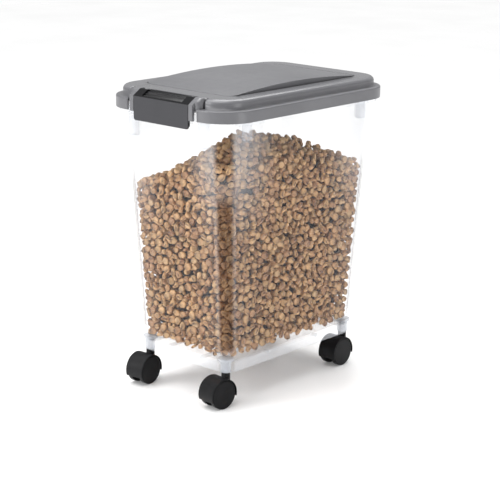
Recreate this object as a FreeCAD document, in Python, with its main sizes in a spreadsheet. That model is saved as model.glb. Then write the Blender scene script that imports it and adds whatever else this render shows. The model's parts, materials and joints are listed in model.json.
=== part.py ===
"""Rolling pet food bin: clear tapered tub, hinged lid with a snap latch, four twin-wheel casters.

Frame: +Z up, floor at z = 0, X across the bin, Y front to back with the latch at -Y.
The origin is on the floor, under the middle of the bin.
"""
import FreeCAD, Part
import Sketcher
import os
import re

# Driving sizes, in millimetres and degrees.
SIZES = {
    # tub
    "tub_width": 238.0, "tub_length": 387.0,        # outside, at the top
    "floor_width": 208.0, "floor_length": 329.0,    # outside, at the floor
    "tub_corner": 36.0, "floor_corner": 30.0,       # corner radii, outside
    "tub_height": 428.4,                            # base edge to top of rim
    "tub_wall": 2.6, "floor_thickness": 3.0,
    "base_height": 16.0, "base_inset": 1.2,
    "rim_side": 14.0, "rim_end": 10.5,              # rim overhang
    "rim_thickness": 3.0, "rim_lip": 2.5, "rim_drop": 18.0,
    "rib_width": 15.0, "rib_depth": 6.0, "rib_root": 8.0,
    "front_rib_height": 52.4, "side_rib_height": 41.4,
    "rib_clear": 10.0, "side_rib_place": 142.0,
    "keel_width": 5.0, "keel_depth": 4.6, "keel_place": 40.0,
    # lid
    "lid_wall": 3.0, "lid_top": 3.6, "lid_gap": 2.5,
    "lid_corner": 58.0, "skirt_cover": 12.4,        # how far the skirt hangs below the rim's top
    "ledge_thickness": 3.6, "band_inset": 11.5, "band_height": 16.0,
    "band_round": 8.0, "skirt_round": 2.5, "break_round": 4.0, "edge_round": 0.8,
    "seal_thickness": 3.0, "seal_width": 6.0, "seal_inset": 3.0, "seal_inset_end": 2.0,
    "panel_side": 41.5, "panel_front": 56.5, "panel_rear": 49.5,
    "panel_corner": 17.0, "panel_rise": 9.0, "groove_width": 2.2, "groove_depth": 2.0,
    # latch and its seat in the lid
    "latch_width": 121.0, "latch_plate": 2.5, "latch_proud": 2.5, "latch_drop": 14.0,
    "latch_shoulder": 10.0, "latch_slope": 32.0, "latch_corner": 4.5, "latch_flange": 2.2,
    "arm_width": 16.5, "window_sill": 2.6, "barrel_radius": 5.6, "barrel_sink": 0.2,
    "slope_sink": 0.3, "latch_side_gap": 0.5, "latch_gap": 0.6,
    "hook_inset": 20.5, "hook_reach": 7.6, "hook_slack": 1.3, "hook_thickness": 3.2,
    "nose_set": 6.0, "nose_sink": 0.8, "cheek_width": 8.0, "cheek_clear": 7.5,
    "shoulder_width": 18.0, "shoulder_set": 5.5, "shoulder_clear": 1.5,
    "latch_pin_radius": 2.0, "latch_pin_bite": 4.6,
    # hinge
    "hinge_place": 65.0, "knuckle_length": 16.0, "knuckle_radius": 3.7,
    "ear_width": 5.0, "ear_root": 6.0, "ear_gap": 0.3, "hinge_pin_radius": 1.5, "hinge_gap": 0.3,
    # casters
    "stem_inset_side": 16.6, "stem_inset_end": 14.0,
    "stem_radius": 4.0, "sleeve_wall": 1.5, "boss_wall": 3.25, "boss_drop": 1.6,
    "cap_brim": 4.25, "cap_height": 4.0, "cap_sink": 1.0,
    "wheel_radius": 24.25, "wheel_width": 9.1, "wheel_gap": 0.55, "wheel_round": 1.6,
    "hub_radius": 6.0, "tread_thickness": 4.0, "wheel_face": 3.0,
    "hood_gap": 0.9, "hood_wall": 1.5, "hood_lip": 0.5,
    "hood_rear_angle": -13.0, "hood_front_angle": 200.0,
    "neck_wall": 3.25, "neck_rise": 4.9, "neck_gap": 0.6, "caster_trail": 17.1,
    "axle_radius": 2.5, "axle_cover": 2.4, "stem_seat": 1.0,
    "running_gap": 0.08,
    "turn_front_right": -6.0, "turn_front_left": 5.0, "turn_rear_right": 1.0, "turn_rear_left": 0.0,
}

# Places and sizes worked out from the driving sizes.
PLACES = {
    "sleeve_radius": "stem_radius + sleeve_wall",
    "boss_radius": "sleeve_radius + boss_wall",
    "cap_radius": "boss_radius + cap_brim",
    "neck_radius": "stem_radius + neck_wall",
    "hood_radius": "wheel_radius + hood_gap + hood_wall",
    "neck_z": "wheel_radius + hood_radius + neck_rise",
    "boss_z": "neck_z + neck_gap",
    "ride_height": "boss_z + boss_drop",
    "floor_z": "ride_height + base_height",
    "cap_z": "floor_z + floor_thickness - cap_sink",
    "rim_z": "ride_height + tub_height",
    "rim_width": "tub_width + 2 * rim_side",
    "rim_length": "tub_length + 2 * rim_end",
    "rim_corner": "lid_corner - lid_wall - lid_gap",
    "lip_z": "rim_z - rim_drop",
    "lid_width": "rim_width + 2 * (lid_gap + lid_wall)",
    "lid_length": "rim_length + 2 * (lid_gap + lid_wall)",
    "skirt_z": "rim_z - skirt_cover",
    "ledge_under": "rim_z + seal_thickness",
    "ledge_z": "ledge_under + ledge_thickness",
    "border_z": "ledge_z + band_height",
    "panel_width": "lid_width - 2 * panel_side",
    "panel_length": "lid_length - panel_front - panel_rear",
    "panel_y": "(panel_front - panel_rear) / 2",
    "arch_radius": "((panel_length / 2) ^ 2 + panel_rise ^ 2) / (2 * panel_rise)",
    "latch_y": "-lid_length / 2 - latch_proud",
    "latch_back": "latch_y + latch_plate",
    "shoulder_z": "border_z - latch_shoulder",
    "pivot_z": "border_z - barrel_sink - barrel_radius",
    "slope_y": "latch_y + slope_sink",
    "pivot_y": "slope_y + (barrel_radius + (pivot_z - shoulder_z) * cos(latch_slope)) / sin(latch_slope)",
    "slope_top_y": "latch_y + latch_shoulder / tan(latch_slope)",
    "seat_y": "pivot_y + barrel_radius + latch_gap",
    "seat_back": "seat_y + lid_wall",
    "cheek_inner": "latch_width / 2 + latch_side_gap",
    "pocket_width": "2 * (cheek_inner + cheek_width + cheek_clear)",
    "band_break": "2 * (cheek_inner + shoulder_width + shoulder_clear)",
    "wall_end": "band_break / 2 + lid_wall",
    "band_corner": "lid_corner - band_inset",
    "past_straight": "max(0; wall_end - (lid_width / 2 - lid_corner))",
    "wall_front": "-lid_length / 2 + band_inset + lid_wall / 2 + band_corner"
                  " - sqrt(band_corner ^ 2 - past_straight ^ 2)",
    "window_width": "latch_width - 2 * arm_width",
    "hook_width": "latch_width - 2 * hook_inset",
    "latch_pin_length": "arm_width + latch_side_gap + latch_pin_bite - latch_gap",
    "front_rib_place": "latch_width / 2 + rib_clear + rib_width / 2",
    "cheek_y": "latch_y + slope_sink",
    "hook_z": "lip_z - hook_slack",
    "latch_low": "skirt_z - latch_drop",
    "hinge_y": "-latch_y - knuckle_radius",
    "hinge_z": "skirt_z - knuckle_radius - hinge_gap",
    "stem_x": "floor_width / 2 - stem_inset_side",
    "stem_y": "floor_length / 2 - stem_inset_end",
    "socket_depth": "cap_z - boss_z",
    "web_half": "neck_radius",
    "hood_round": "0.35 * hood_wall",
    "wheel_inner": "web_half + wheel_gap",
    "wheel_outer": "wheel_inner + wheel_width",
    "stem_bottom": "wheel_radius + neck_radius",
}

doc = FreeCAD.newDocument("PetFoodBin")
sheet = doc.addObject("Spreadsheet::Sheet", "Sizes")
for row, (alias, number) in enumerate(SIZES.items(), 1):
    sheet.set(f"A{row}", alias)
    sheet.set(f"B{row}", str(number))
    sheet.setAlias(f"B{row}", alias)
doc.recompute()

X_AXIS = FreeCAD.Vector(1, 0, 0)
Z_AXIS = FreeCAD.Vector(0, 0, 1)


def bound(formula):
    """Spell a formula out in the sheet's cells."""
    def spell(found):
        word = found.group()
        if word in PLACES:
            return "(" + bound(PLACES[word]) + ")"
        return "Sizes." + word if word in SIZES else word
    return re.sub(r"[a-z][a-z_0-9]*", spell, str(formula))


def value(formula):
    """The number that a formula comes to."""
    return float(sheet.evalExpression(bound(formula)))


def bind(item, **formulas):
    """Tie properties to formulas; a double underscore in a name stands for a dot."""
    for name, formula in formulas.items():
        item.setExpression(name.replace("__", "."), bound(formula))


# ---------------------------------------------------------------- sketches

def new_body(label):
    body = doc.addObject("PartDesign::Body", label)
    body.Label = label
    return body


def new_sketch(body, plane, offset="0"):
    """A sketch on one of the body's origin planes, moved along that plane's normal."""
    sketch = body.newObject("Sketcher::SketchObject", body.Label + "_sketch")
    origin_plane = next(item for item in body.Origin.OriginFeatures if item.Role == plane)
    sketch.AttachmentSupport = [(origin_plane, "")]
    sketch.MapMode = "FlatFace"
    bind(sketch, AttachmentOffset__Base__z=offset)
    return sketch


def hold(sketch, kind, *where, formula):
    """Add a dimension and tie it to a formula."""
    index = sketch.addConstraint(Sketcher.Constraint(kind, *where, value(formula)))
    sketch.setExpression(f"Constraints[{index}]", bound(formula))


def add_loop(sketch, width, length, radius, middle_y="0"):
    """A rounded rectangle, centred on X, with its middle at middle_y."""
    half_x, half_y, round_r, mid = value(width) / 2, value(length) / 2, value(radius), value(middle_y)
    inner_x, inner_y = half_x - round_r, half_y - round_r
    first = sketch.GeometryCount
    ends = [((-inner_x, -half_y), (inner_x, -half_y)), ((half_x, -inner_y), (half_x, inner_y)),
            ((inner_x, half_y), (-inner_x, half_y)), ((-half_x, inner_y), (-half_x, -inner_y))]
    for start, end in ends:
        sketch.addGeometry(Part.LineSegment(FreeCAD.Vector(start[0], start[1] + mid, 0),
                                            FreeCAD.Vector(end[0], end[1] + mid, 0)))
    turn = FreeCAD.Units.Quantity("90 deg").getValueAs("rad").Value
    centres = [(inner_x, -inner_y), (inner_x, inner_y), (-inner_x, inner_y), (-inner_x, -inner_y)]
    for number, (x, y) in enumerate(centres):
        circle = Part.Circle(FreeCAD.Vector(x, y + mid, 0), Z_AXIS, round_r)
        sketch.addGeometry(Part.ArcOfCircle(circle, (number - 1) * turn, number * turn))
    for number in range(4):
        line, arc, following = first + number, first + 4 + number, first + (number + 1) % 4
        sketch.addConstraint(Sketcher.Constraint("Tangent", line, 2, arc, 1))
        sketch.addConstraint(Sketcher.Constraint("Tangent", arc, 2, following, 1))
    for number in range(3):
        sketch.addConstraint(Sketcher.Constraint("Equal", first + 4, first + 5 + number))
    for line, kind in zip(range(first, first + 4), ("Horizontal", "Vertical") * 2):
        sketch.addConstraint(Sketcher.Constraint(kind, line))
    hold(sketch, "Radius", first + 4, formula=radius)
    hold(sketch, "DistanceX", -1, 1, first + 1, 1, formula=f"({width}) / 2")
    hold(sketch, "DistanceX", -1, 1, first + 3, 1, formula=f"-({width}) / 2")
    hold(sketch, "DistanceY", -1, 1, first + 2, 1, formula=f"{middle_y} + ({length}) / 2")
    hold(sketch, "DistanceY", -1, 1, first, 1, formula=f"{middle_y} - ({length}) / 2")


def add_circle(sketch, x, y, radius):
    centre = FreeCAD.Vector(value(x), value(y), 0)
    index = sketch.addGeometry(Part.Circle(centre, Z_AXIS, value(radius)))
    hold(sketch, "DistanceX", -1, 1, index, 3, formula=x)
    hold(sketch, "DistanceY", -1, 1, index, 3, formula=y)
    hold(sketch, "Radius", index, formula=radius)


def add_polygon(sketch, points):
    """A closed polygon through points given as pairs of formulas."""
    corners = [FreeCAD.Vector(value(x), value(y), 0) for x, y in points]
    first = sketch.GeometryCount
    for number, corner in enumerate(corners):
        sketch.addGeometry(Part.LineSegment(corner, corners[(number + 1) % len(corners)]))
    for number, (x, y) in enumerate(points):
        before = first + (number - 1) % len(points)
        sketch.addConstraint(Sketcher.Constraint("Coincident", before, 2, first + number, 1))
        hold(sketch, "DistanceX", -1, 1, first + number, 1, formula=x)
        hold(sketch, "DistanceY", -1, 1, first + number, 1, formula=y)


def add_box(sketch, x_low, x_high, y_low, y_high):
    add_polygon(sketch, [(x_low, y_low), (x_high, y_low), (x_high, y_high), (x_low, y_high)])


def loop_at(body, z, width, length, radius, middle_y="0"):
    sketch = new_sketch(body, "XY_Plane", z)
    add_loop(sketch, width, length, radius, middle_y)
    return sketch


# ---------------------------------------------------------------- features

def sweep(body, kind, sketch, length, both_ways=False, backwards=False):
    """A pad or a pocket of a sketch; both_ways centres its length on the sketch."""
    feature = body.newObject("PartDesign::" + kind, f"{body.Label}_{kind.lower()}")
    feature.Profile = sketch
    feature.SideType = "Symmetric" if both_ways else "One side"
    feature.Reversed = backwards
    bind(feature, Length=length)
    doc.recompute()
    return feature


def volume(body):
    return body.Shape.Volume if body.Tip else 0.0


def pad(body, sketch, length, **ways):
    before = volume(body)
    feature = sweep(body, "Pad", sketch, length, **ways)
    if feature.Shape.Volume <= before:
        raise ValueError(f"{feature.Label} adds nothing")
    return feature


def cut(body, sketch, length, **ways):
    """A pocket whose direction is along the sketch's normal unless backwards is set."""
    before = volume(body)
    ways["backwards"] = not ways.get("backwards", False)
    feature = sweep(body, "Pocket", sketch, length, **ways)
    if feature.Shape.Volume >= before:
        raise ValueError(f"{feature.Label} cuts nothing")
    return feature


def loft(body, kind, sections):
    feature = body.newObject(f"PartDesign::{kind}Loft", f"{body.Label}_loft")
    feature.Profile = sections[0]
    feature.Sections = sections[1:]
    feature.Ruled = True
    doc.recompute()
    return feature


def turned(body, sketch):
    """Turn a sketch right round its own horizontal axis."""
    feature = body.newObject("PartDesign::Revolution", body.Label + "_revolution")
    feature.Profile = sketch
    feature.ReferenceAxis = (sketch, ["H_Axis"])
    feature.Angle = 360
    doc.recompute()
    return feature


def on_plane(axis, place):
    """A test for edges that lie in a plane square to X, Y or Z."""
    return lambda box: (abs(getattr(box, axis + "Min") - value(place)) < 0.01
                        and abs(getattr(box, axis + "Max") - value(place)) < 0.01)


def flat_at(z):
    """A test for edges that lie flat at a height."""
    return lambda box: abs(box.ZMin - value(z)) < 0.01 and abs(box.ZMax - value(z)) < 0.01


def rounded(body, radius, chosen):
    """Fillet the edges of the body's tip that chosen() picks by their bounding box."""
    base = body.Tip
    names = [f"Edge{number}" for number, edge in enumerate(base.Shape.Edges, 1)
             if chosen(edge.BoundBox)]
    feature = body.newObject("PartDesign::Fillet", body.Label + "_fillet")
    feature.Base = (base, names)
    bind(feature, Radius=radius)
    doc.recompute()
    return feature


def profile(body, points, offset="0"):
    """A polygon in the YZ plane."""
    sketch = new_sketch(body, "YZ_Plane", offset)
    add_polygon(sketch, points)
    return sketch


def both_sides(low, high):
    """The same span on the plus side and on the minus side of the middle."""
    return [(low, high), (f"-({high})", f"-({low})")]


def rod(label, radius, length, x, y, z, axis=Z_AXIS):
    """A plain round pin that starts at x, y, z and runs along an axis."""
    pin = doc.addObject("Part::Cylinder", label)
    pin.Label = label
    bind(pin, Radius=radius, Height=length)
    pin.Placement = FreeCAD.Placement(FreeCAD.Vector(), FreeCAD.Rotation(Z_AXIS, axis))
    bind(pin, Placement__Base__x=x, Placement__Base__y=y, Placement__Base__z=z)
    return pin


# ---------------------------------------------------------------- tub

def make_tub():
    tub = new_body("tub")
    loft(tub, "Additive", [loop_at(tub, "floor_z", "floor_width", "floor_length", "floor_corner"),
                           loop_at(tub, "rim_z", "tub_width", "tub_length", "tub_corner")])
    base = loop_at(tub, "ride_height", "floor_width - 2 * base_inset",
                   "floor_length - 2 * base_inset", "floor_corner - base_inset")
    pad(tub, base, "base_height + floor_thickness / 2")
    flange = loop_at(tub, "rim_z", "rim_width", "rim_length", "rim_corner")
    pad(tub, flange, "rim_thickness", backwards=True)
    lip = loop_at(tub, "rim_z - rim_thickness", "rim_width", "rim_length", "rim_corner")
    add_loop(lip, "rim_width - 2 * rim_lip", "rim_length - 2 * rim_lip", "rim_corner - rim_lip")
    pad(tub, lip, "rim_drop - rim_thickness", backwards=True)
    rounded(tub, "edge_round", lambda box: max(box.XMax, -box.XMin) > value("rim_width / 2 - rim_lip / 2")
            and (flat_at("rim_z")(box) or flat_at("lip_z")(box)))

    # ribs that stiffen the wall under the rim, two on each face
    ribs = new_sketch(tub, "XY_Plane", "rim_z - rim_thickness")
    for x_low, x_high in both_sides("front_rib_place - rib_width / 2", "front_rib_place + rib_width / 2"):
        for y_low, y_high in both_sides("tub_length / 2 - rib_root", "tub_length / 2 + rib_depth"):
            add_box(ribs, x_low, x_high, y_low, y_high)
    pad(tub, ribs, "front_rib_height", backwards=True)
    ribs = new_sketch(tub, "XY_Plane", "rim_z - rim_thickness")
    for y_low, y_high in both_sides("side_rib_place - rib_width / 2", "side_rib_place + rib_width / 2"):
        for x_low, x_high in both_sides("tub_width / 2 - rib_root", "tub_width / 2 + rib_depth"):
            add_box(ribs, x_low, x_high, y_low, y_high)
    pad(tub, ribs, "side_rib_height", backwards=True)

    # hinge knuckles behind the rear lip
    for side in ("", "-"):
        knuckle = new_sketch(tub, "YZ_Plane", f"{side}hinge_place")
        add_circle(knuckle, "hinge_y", "hinge_z", "knuckle_radius")
        pad(tub, knuckle, "knuckle_length", both_ways=True)
        web = profile(tub, [("rim_length / 2 - rim_lip", "hinge_z - knuckle_radius"),
                            ("hinge_y", "hinge_z - knuckle_radius"),
                            ("hinge_y", "hinge_z + knuckle_radius"),
                            ("rim_length / 2 - rim_lip", "hinge_z + knuckle_radius")],
                      f"{side}hinge_place")
        pad(tub, web, "knuckle_length", both_ways=True)
        bore = new_sketch(tub, "YZ_Plane", f"{side}hinge_place")
        add_circle(bore, "hinge_y", "hinge_z", "hinge_pin_radius + running_gap")
        cut(tub, bore, "knuckle_length + 2", both_ways=True)

    hollow = [loop_at(tub, "floor_z + floor_thickness", "floor_width - 2 * tub_wall",
                      "floor_length - 2 * tub_wall", "floor_corner - tub_wall"),
              loop_at(tub, "rim_z", "tub_width - 2 * tub_wall", "tub_length - 2 * tub_wall",
                      "tub_corner - tub_wall")]
    loft(tub, "Subtractive", hollow)
    recess = loop_at(tub, "ride_height", "floor_width - 2 * (base_inset + tub_wall)",
                     "floor_length - 2 * (base_inset + tub_wall)", "floor_corner - base_inset - tub_wall")
    cut(tub, recess, "base_height")

    # keels under the floor, and the four caster sockets
    keels = new_sketch(tub, "XY_Plane", "floor_z + floor_thickness / 2")
    for x_low, x_high in both_sides("keel_place - keel_width / 2", "keel_place + keel_width / 2"):
        add_box(keels, x_low, x_high, "-floor_length / 2 + base_inset + tub_wall / 2",
                "floor_length / 2 - base_inset - tub_wall / 2")
    pad(tub, keels, "keel_depth + floor_thickness / 2", backwards=True)
    add_discs(tub, "boss_z", "boss_radius", "base_height + boss_drop + floor_thickness", pad)
    add_discs(tub, "cap_z", "cap_radius", "cap_height", pad)
    add_discs(tub, "boss_z", "sleeve_radius", "socket_depth", cut)
    return tub


def add_discs(tub, z, radius, height, feature):
    """The same round pad or bore at each caster's place."""
    discs = new_sketch(tub, "XY_Plane", z)
    for x in ("stem_x", "-stem_x"):
        for y in ("stem_y", "-stem_y"):
            add_circle(discs, x, y, radius)
    feature(tub, discs, height)


# ---------------------------------------------------------------- lid

def make_lid():
    lid = new_body("lid")
    pad(lid, loop_at(lid, "skirt_z", "lid_width", "lid_length", "lid_corner"), "ledge_z - skirt_z")
    band = loop_at(lid, "ledge_z", "lid_width - 2 * band_inset", "lid_length - 2 * band_inset",
                   "band_corner")
    pad(lid, band, "band_height")

    # hollow underneath, with a wall left across the front for the latch to sit against
    cut(lid, loop_at(lid, "skirt_z", "lid_width - 2 * lid_wall", "lid_length - 2 * lid_wall",
                     "lid_corner - lid_wall"), "ledge_under - skirt_z")
    cut(lid, loop_at(lid, "ledge_under", "lid_width - 2 * (band_inset + lid_wall)",
                     "lid_length - 2 * (band_inset + lid_wall)", "band_corner - lid_wall"),
        "border_z - lid_top - ledge_under")
    wall = new_sketch(lid, "XY_Plane", "ledge_under")
    add_box(wall, "-wall_end", "wall_end", "wall_front", "seat_back")
    pad(lid, wall, "border_z - ledge_under")
    rounded(lid, "band_round", flat_at("border_z"))
    rounded(lid, "skirt_round", lambda box: flat_at("ledge_z")(box)
            and (max(box.XMax, -box.XMin) > value("lid_width / 2 - lid_wall")
                 or max(box.YMax, -box.YMin) > value("lid_length / 2 - lid_wall")))

    # raised panel: an arch from front to back inside a groove
    pad(lid, loop_at(lid, "border_z", "panel_width", "panel_length", "panel_corner", "panel_y"),
        "panel_rise + 1")
    cut(lid, arch_sketch(lid, "border_z", above=True), "panel_width + 2", both_ways=True)
    cut(lid, arch_sketch(lid, "border_z - lid_top", above=False), "panel_width - 2 * lid_wall",
        both_ways=True)
    groove = loop_at(lid, "border_z", "panel_width + 2 * groove_width",
                     "panel_length + 2 * groove_width", "panel_corner + groove_width", "panel_y")
    add_loop(groove, "panel_width", "panel_length", "panel_corner", "panel_y")
    cut(lid, groove, "groove_depth", backwards=True)
    rounded(lid, "edge_round", lambda box: box.ZMax > value("border_z + panel_rise / 2")
            and abs(abs(box.XMin) - value("panel_width / 2")) < 0.1)
    make_latch_seat(lid)
    make_hinge_ears(lid)
    return lid


def arch_sketch(lid, z, above):
    """The panel's arch in the YZ plane: what lies above it, or what lies between it and its chord."""
    sketch = new_sketch(lid, "YZ_Plane")
    front, rear, rise = "panel_y - panel_length / 2", "panel_y + panel_length / 2", "panel_rise"
    ends = [FreeCAD.Vector(value(y), value(z), 0) for y in (front, rear)]
    crown = FreeCAD.Vector(value("panel_y"), value(f"{z} + {rise}"), 0)
    sketch.addGeometry(Part.Arc(ends[0], crown, ends[1]))
    start, end = (1, 2) if sketch.getPoint(0, 1).x < 0 else (2, 1)
    hold(sketch, "DistanceX", -1, 1, 0, start, formula=front)
    hold(sketch, "DistanceX", -1, 1, 0, end, formula=rear)
    hold(sketch, "DistanceY", -1, 1, 0, start, formula=z)
    hold(sketch, "DistanceY", -1, 1, 0, end, formula=z)
    hold(sketch, "Radius", 0, formula="arch_radius")
    top = f"{z} + panel_rise + 5" if above else z
    if not above:
        sketch.addGeometry(Part.LineSegment(ends[1], ends[0]))
        sketch.addConstraint(Sketcher.Constraint("Coincident", 0, end, 1, 1))
        sketch.addConstraint(Sketcher.Constraint("Coincident", 1, 2, 0, start))
        return sketch
    corners = [ends[1], FreeCAD.Vector(ends[1].x, value(top), 0),
               FreeCAD.Vector(ends[0].x, value(top), 0), ends[0]]
    for number in range(3):
        sketch.addGeometry(Part.LineSegment(corners[number], corners[number + 1]))
    for joint in ((0, end, 1, 1), (1, 2, 2, 1), (2, 2, 3, 1), (3, 2, 0, start)):
        sketch.addConstraint(Sketcher.Constraint("Coincident", *joint))
    for line, kind in ((1, "Vertical"), (2, "Horizontal"), (3, "Vertical")):
        sketch.addConstraint(Sketcher.Constraint(kind, line))
    hold(sketch, "DistanceY", -1, 1, 2, 1, formula=top)
    return sketch


def make_latch_seat(lid):
    """The pocket in the lid's front edge where the latch sits, with its cheeks and ribbed nose."""
    skirt_gap = new_sketch(lid, "XY_Plane", "skirt_z")
    add_box(skirt_gap, "-pocket_width / 2", "pocket_width / 2", "latch_y", "-lid_length / 2 + lid_wall")
    cut(lid, skirt_gap, "ledge_z - skirt_z")
    band_gap = new_sketch(lid, "XY_Plane", "ledge_z")
    add_box(band_gap, "-band_break / 2", "band_break / 2", "latch_y", "seat_y")
    cut(lid, band_gap, "band_height")
    rounded(lid, "break_round", lambda box: abs(abs(box.XMin) - value("band_break / 2")) < 0.01
            and box.XLength < 0.01 and box.YMin < value("seat_y - 1") and box.ZMin > value("ledge_z - 1")
            and box.ZLength > 1)

    rear = "seat_y + lid_wall / 2"
    cheek = [("cheek_y", "skirt_z"), ("cheek_y", "shoulder_z"), ("slope_top_y", "border_z"),
             (rear, "border_z"), (rear, "ledge_under"), ("-lid_length / 2 + lid_wall", "ledge_under"),
             ("-lid_length / 2 + lid_wall", "skirt_z")]
    shoulder_y = "latch_y + shoulder_set + slope_sink"
    shoulder = [(shoulder_y, "ledge_z"), (shoulder_y, "shoulder_z + shoulder_set * tan(latch_slope)"),
                ("slope_top_y", "border_z"), (rear, "border_z"), (rear, "ledge_z")]
    for side in ("", "-"):
        pad(lid, profile(lid, cheek, f"{side}(cheek_inner + cheek_width / 2)"), "cheek_width",
            both_ways=True)
        pad(lid, profile(lid, shoulder, f"{side}(cheek_inner + shoulder_width / 2)"),
            "shoulder_width", both_ways=True)

    pad(lid, profile(lid, nose_steps(rear)), "window_width - 2 * latch_gap", both_ways=True)
    pin_hole = new_sketch(lid, "YZ_Plane")
    add_circle(pin_hole, "pivot_y", "pivot_z", "latch_pin_radius")
    cut(lid, pin_hole, "2 * (window_width / 2 + latch_gap + latch_pin_length)", both_ways=True)
    return lid


def nose_steps(rear):
    """Grip steps that climb from the ledge to the border behind the latch's window."""
    front = "slope_y + nose_set"
    run = f"(seat_y - ({front})) / 4"
    climb = "(border_z - shoulder_z) / 4"
    points = [(rear, "border_z"), (rear, "ledge_under"), (front, "ledge_under")]
    for step in range(4):
        tread = f"shoulder_z - nose_sink + ({step} + 1) * {climb}"
        points += [(f"{front} + {step} * {run}", tread), (f"{front} + ({step} + 1) * {run}", tread)]
    return points


def make_hinge_ears(lid):
    """Two ears on each side of each tub knuckle, below the rear skirt."""
    skirt_inner = "lid_length / 2 - lid_wall"
    ear = [(skirt_inner, "skirt_z + ear_root"), (skirt_inner, "hinge_z"),
           ("hinge_y + knuckle_radius", "hinge_z"),
           ("hinge_y + knuckle_radius", "skirt_z + ear_root")]
    centre = "knuckle_length / 2 + ear_gap + ear_width / 2"
    for side in ("", "-"):
        for hand in ("+", "-"):
            place = f"{side}hinge_place {hand} ({centre})"
            disc = new_sketch(lid, "YZ_Plane", place)
            add_circle(disc, "hinge_y", "hinge_z", "knuckle_radius")
            pad(lid, disc, "ear_width", both_ways=True)
            pad(lid, profile(lid, ear, place), "ear_width", both_ways=True)
        bore = new_sketch(lid, "YZ_Plane", f"{side}hinge_place")
        add_circle(bore, "hinge_y", "hinge_z", "hinge_pin_radius")
        cut(lid, bore, "knuckle_length + 2 * (ear_gap + ear_width) + 1", both_ways=True)


def make_gasket():
    gasket = new_body("lid_gasket")
    ring = loop_at(gasket, "rim_z", "rim_width - 2 * seal_inset", "rim_length - 2 * seal_inset_end",
                   "rim_corner - seal_inset")
    add_loop(ring, "rim_width - 2 * (seal_inset + seal_width)",
             "rim_length - 2 * (seal_inset_end + seal_width)", "rim_corner - seal_inset - seal_width")
    pad(gasket, ring, "seal_thickness")


# ---------------------------------------------------------------- latch

def make_latch():
    latch = new_body("latch")
    plate = new_sketch(latch, "XZ_Plane", "-latch_y")
    add_loop(plate, "latch_width", "shoulder_z - latch_low", "latch_corner",
             "(shoulder_z + latch_low) / 2")
    pad(latch, plate, "latch_plate", backwards=True)
    rounded(latch, "edge_round", on_plane("Y", "latch_y"))

    # sloped arms that end in the pivot barrels, and the sill under the window
    crown_y = "pivot_y - barrel_radius * sin(latch_slope)"
    crown_z = "pivot_z + barrel_radius * cos(latch_slope)"
    front = [("latch_y", "shoulder_z - latch_corner"),
             ("latch_y", "shoulder_z - slope_sink * tan(latch_slope)"), ("slope_y", "shoulder_z")]
    arm = [*front, (crown_y, crown_z), ("pivot_y", "pivot_z"),
           ("pivot_y", "pivot_z - barrel_radius"), ("latch_back", "shoulder_z - latch_corner - 2")]
    sill = [*front,
            ("slope_y + window_sill", "shoulder_z + window_sill * tan(latch_slope)"),
            ("slope_y + window_sill", "shoulder_z - latch_corner"),
            ("latch_back", "shoulder_z - latch_corner - 2")]
    for side in ("", "-"):
        place = f"{side}(window_width / 2 + arm_width / 2)"
        pad(latch, profile(latch, arm, place), "arm_width", both_ways=True)
        barrel = new_sketch(latch, "YZ_Plane", place)
        add_circle(barrel, "pivot_y", "pivot_z", "barrel_radius")
        pad(latch, barrel, "arm_width", both_ways=True)
    pad(latch, profile(latch, sill), "latch_width", both_ways=True)
    pin_hole = new_sketch(latch, "YZ_Plane")
    add_circle(pin_hole, "pivot_y", "pivot_z", "latch_pin_radius + running_gap")
    cut(latch, pin_hole, "latch_width + 2", both_ways=True)

    # hook that closes under the tub's lip
    hook = [("latch_back - latch_plate / 2", "hook_z"), ("latch_back + hook_reach", "hook_z"),
            ("latch_back + hook_reach", "hook_z - hook_thickness / 2"),
            ("latch_back + hook_reach / 2", "hook_z - hook_thickness"),
            ("latch_back - latch_plate / 2", "hook_z - hook_thickness")]
    pad(latch, profile(latch, hook), "hook_width", both_ways=True)

    # flanges down the plate's two sides
    flange = new_sketch(latch, "XY_Plane", "latch_low + latch_corner")
    for x_low, x_high in both_sides("latch_width / 2 - latch_flange", "latch_width / 2"):
        add_box(flange, x_low, x_high, "latch_back - latch_plate / 2", "latch_back + latch_flange")
    pad(latch, flange, "shoulder_z - latch_low - 2 * latch_corner")


def make_pins():
    reach = "window_width / 2 + latch_gap"
    rod("latch_pin_right", "latch_pin_radius", "latch_pin_length", reach, "pivot_y", "pivot_z", X_AXIS)
    rod("latch_pin_left", "latch_pin_radius", "latch_pin_length",
        f"-({reach}) - latch_pin_length", "pivot_y", "pivot_z", X_AXIS)
    length = "knuckle_length + 2 * (ear_gap + ear_width)"
    rod("hinge_pin_right", "hinge_pin_radius", length, f"hinge_place - ({length}) / 2",
        "hinge_y", "hinge_z", X_AXIS)
    rod("hinge_pin_left", "hinge_pin_radius", length, f"-hinge_place - ({length}) / 2",
        "hinge_y", "hinge_z", X_AXIS)


# ---------------------------------------------------------------- casters

def caster_body(label, place):
    """A body whose own origin is on the floor under the caster's stem, turned as the caster stands."""
    body = new_body(label)
    put_at_caster(body, place)
    return body


def put_at_caster(item, place, z="0"):
    x_sign, y_sign, turn = place
    bind(item, Placement__Base__x=f"{x_sign}stem_x", Placement__Base__y=f"{y_sign}stem_y",
         Placement__Base__z=z, Placement__Rotation__Angle=turn)


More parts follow.
